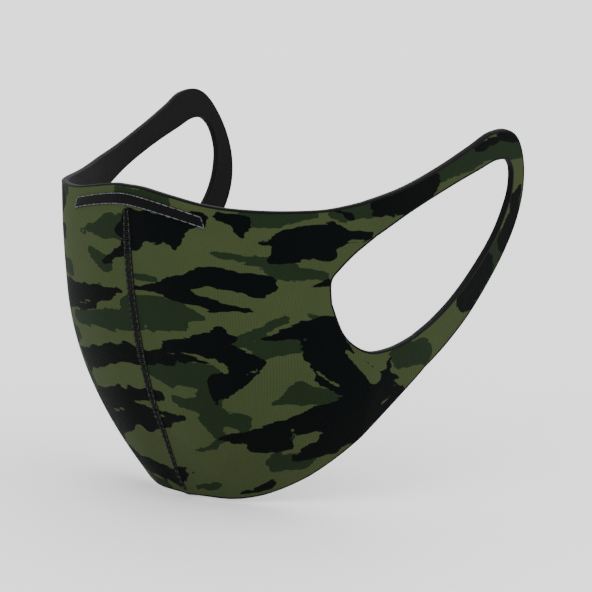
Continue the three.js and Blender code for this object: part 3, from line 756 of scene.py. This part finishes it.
# ---- the pieces ----
def outlineParts():
    # the edge all round one half, cut where the front piece ends, and the edge of the ear opening
    split, size, gap = cut["splitAlong"], 0.8, 0.4
    outer, inner = loopEdges(300)
    front, back = np.arange(0, split, size), np.arange(split, cut["rootAlong"] - gap, size)
    behind = np.arange(split, rootEnd(1)[0] - gap, size)
    line = np.vstack([onEdge(front, topHeight), onEdge(back, topHeight), outer,
                      onEdge(behind, lowHeight)[::-1], onEdge(front, lowHeight)[::-1]])
    inward = inwardOf(line, False)
    first, last = len(front), len(line) - len(front) - 1
    opening = np.vstack([spacedSpline(openingTop, 48)[:-1], inner[:-1], spacedSpline(openingLow, 70)[::-1]])
    return ((line[:first + 1], inward[:first + 1]), (line[first:last + 1], inward[first:last + 1]),
            (line[last:], inward[last:]), (opening, inwardOf(opening, True)))


def foldOf(name):
    # a joint's point and axis, in metres
    joint = next(j for j in frame["joints"] if j["name"] == name)
    axis = np.array(joint["axis"], float)
    return np.array(joint["pos_m"], float), axis / np.linalg.norm(axis)


def dress(piece, material, slot, bodies, span, *nodes):
    # its material; a piece with no span is parented to its first body, and one with a span has its transform
    # baked; and the CAD nodes it stands for are hidden
    piece.data.materials.append(material)
    if span is None:
        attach(piece, bodies[0])
    else:
        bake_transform(piece)
    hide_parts(*nodes)
    return piece


materials = dict(camo=camoKnit(), lining=plainKnit(), tape=wovenTape(),
                 wire=bentAluminium(), grey=twistedThread("greySpunPolyesterThread", "#4A4B4F"),
                 dim=twistedThread("slateSpunPolyesterThread", "#2C2F2A"),
                 dark=twistedThread("blackSpunPolyesterThread", "#050606"))
frontTop, rearEdge, frontLow, openingEdge = outlineParts()
foldWidth, swingWidth = 0.0165, 0.013      # how far each side of a joint a bend would reach; here they only set the spans handed to dress

for name, side in (("left", 1), ("right", -1)):
    seamSpan = ((0, 0, 0), (side * foldWidth, 0, 0))
    point, axis = foldOf(f"{name}_loop_swing")
    (rootAt, rootZ), midDepth, away = rootEnd(0.5), cloth["liningDepth"] / 2, 4
    ahead = (clothPoint(rootAt + away, rootZ, midDepth, side)
             - clothPoint(rootAt - away, rootZ, midDepth, side))
    ahead = ahead - axis * (ahead @ axis)
    ahead /= np.linalg.norm(ahead)
    rootSpan = (tuple(point - ahead * swingWidth), tuple(point + ahead * swingWidth))
    fold, swing = ("bridge", f"{name}_half"), (f"{name}_half", f"{name}_loop")

    points, faces, pattern = sheetShell(frontGrids, 0, cloth["outerDepth"], side)
    camoFront = makeMesh(f"outer_front_{name}", points, faces, pattern)
    addPrint(camoFront, pattern)
    dress(camoFront, materials["camo"], "camo_knit", fold, seamSpan, f"outer_panel_{name}")
    points, faces, pattern = sheetShell(rearGrids, 0, cloth["outerDepth"], side)
    camoRear = makeMesh(f"outer_cheek_and_loop_{name}", points, faces, pattern)
    addPrint(camoRear, pattern)
    dress(camoRear, materials["camo"], "camo_knit", swing, rootSpan,
          f"outer_panel_{name}", f"outer_loop_{name}")

    parts = [sheetShell(frontGrids, cloth["liningStart"], cloth["liningDepth"], side),
             edgeRoll(*frontTop, False, side), edgeRoll(*frontLow, False, side)]
    liningFront = makeMesh(f"lining_front_{name}", *joinParts(parts))
    dress(liningFront, materials["lining"], "lining_knit", fold, seamSpan, f"lining_panel_{name}")
    parts = [sheetShell(rearGrids, cloth["liningStart"], cloth["liningDepth"], side),
             edgeRoll(*rearEdge, False, side), edgeRoll(*openingEdge, True, side)]
    liningRear = makeMesh(f"lining_cheek_and_loop_{name}", *joinParts(parts))
    dress(liningRear, materials["lining"], "lining_knit", swing, rootSpan,
          f"lining_panel_{name}", f"lining_loop_{name}")

    sewnOn = (("nose_wire", wireStrip, "wire", "nose_wire", "nose_wire"),
              ("nose_casing", noseTape, "tape", "casing_tape", "nose_casing"),
              ("casing_stitches", casingStitches, "grey", "casing_thread", "casing_thread"),
              ("needle_stitches", needleRow, "dim", "seam_thread", f"needle_thread_{name}"))
    for title, make, stuff, slot, node in sewnOn:
        dress(makeMesh(f"{title}_{name}", *make(side)), materials[stuff], slot, fold, seamSpan, node)
    print("made the", name, "half")

dress(makeMesh("seam_cover_stitches", *seamStitch(coverRadius, cover)), materials["dark"], "seam_thread",
      ("bridge",), None, "needle_thread_left", "needle_thread_right")
dress(makeMesh("seam_inside_stitches", *seamStitch(chainRadius, chain)), materials["grey"], "looper_thread",
      ("bridge",), None, "looper_thread")
print("sewn the centre seam")

# ---- the floor, the light and the camera ----
studio = dict(azimuth=42.18, elevation=10.587, distance=1.196, lens=200, aimRight=0.0614, aimDown=0.0409)
floorMesh = bpy.data.meshes.new("floor")
floorHeight = float(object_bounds()[0].z) - 0.0003
floorReach = 4
floorCorners = [(x * floorReach, y * floorReach, floorHeight)
                for x, y in ((-1, -1), (1, -1), (1, 1), (-1, 1))]
floorMesh.from_pydata(floorCorners, [], [(0, 1, 2, 3)])
floor = bpy.data.objects.new("floor", floorMesh)
bpy.context.scene.collection.objects.link(floor)
floorPaint, floorTree, floorShader = newMaterial("palePaintedBoard", roughness=0.9)
floorPlace = addNode(floorTree, "TexCoord", out="Object")
grain = addNode(floorTree, "TexNoise", {"Vector": floorPlace, "Scale": 3.0, "Detail": 2.0})
floorTone = addNode(floorTree, "MapRange", {0: grain, 1: 0.0, 2: 1.0, 3: 0.80, 4: 0.84})
floorTree.links.new(floorTone, floorShader.inputs["Base Color"])
floorMesh.materials.append(floorPaint)

world = bpy.data.worlds.new("paleStudio")
world.use_nodes = True
world.node_tree.nodes["Background"].inputs[0].default_value = srgb("#F4F5F6")
world.node_tree.nodes["Background"].inputs[1].default_value = 1.9
bpy.context.scene.world = world


def areaLight(name, place, size, power):
    # a square softbox that faces the mask's middle
    light = bpy.data.lights.new(name, "AREA")
    light.size, light.energy = size, power
    box = bpy.data.objects.new(name, light)
    box.location = place
    aim = np.array([0.0, 0.05, -0.05]) - np.array(place)
    box.rotation_euler = (math.atan2(math.hypot(aim[0], aim[1]), -aim[2]), 0, math.atan2(-aim[0], aim[1]))
    bpy.context.scene.collection.objects.link(box)


areaLight("keyBox", (0.1, -1.2, 1.1), 1.0, 15)
areaLight("sideBox", (1.4, 0.2, 0.6), 1.0, 8)
areaLight("backBox", (-0.9, 1.1, 0.9), 1.2, 9)

turn, tilt = math.radians(studio["azimuth"]), math.radians(studio["elevation"])
back = np.array([math.sin(turn) * math.cos(tilt), -math.cos(turn) * math.cos(tilt), math.sin(tilt)])
right = np.array([math.cos(turn), math.sin(turn), 0])
up = np.cross(back, right)
aim = right * studio["aimRight"] - up * studio["aimDown"]
lens = bpy.data.cameras.new("camera")
lens.lens, lens.sensor_width, lens.clip_start, lens.clip_end = studio["lens"], 36, 0.01, 50
camera = bpy.data.objects.new("camera", lens)
camera.location = back * studio["distance"]
camera.rotation_euler = (Vector(aim) - camera.location).to_track_quat("-Z", "Y").to_euler()
bpy.context.scene.collection.objects.link(camera)
bpy.context.scene.camera = camera
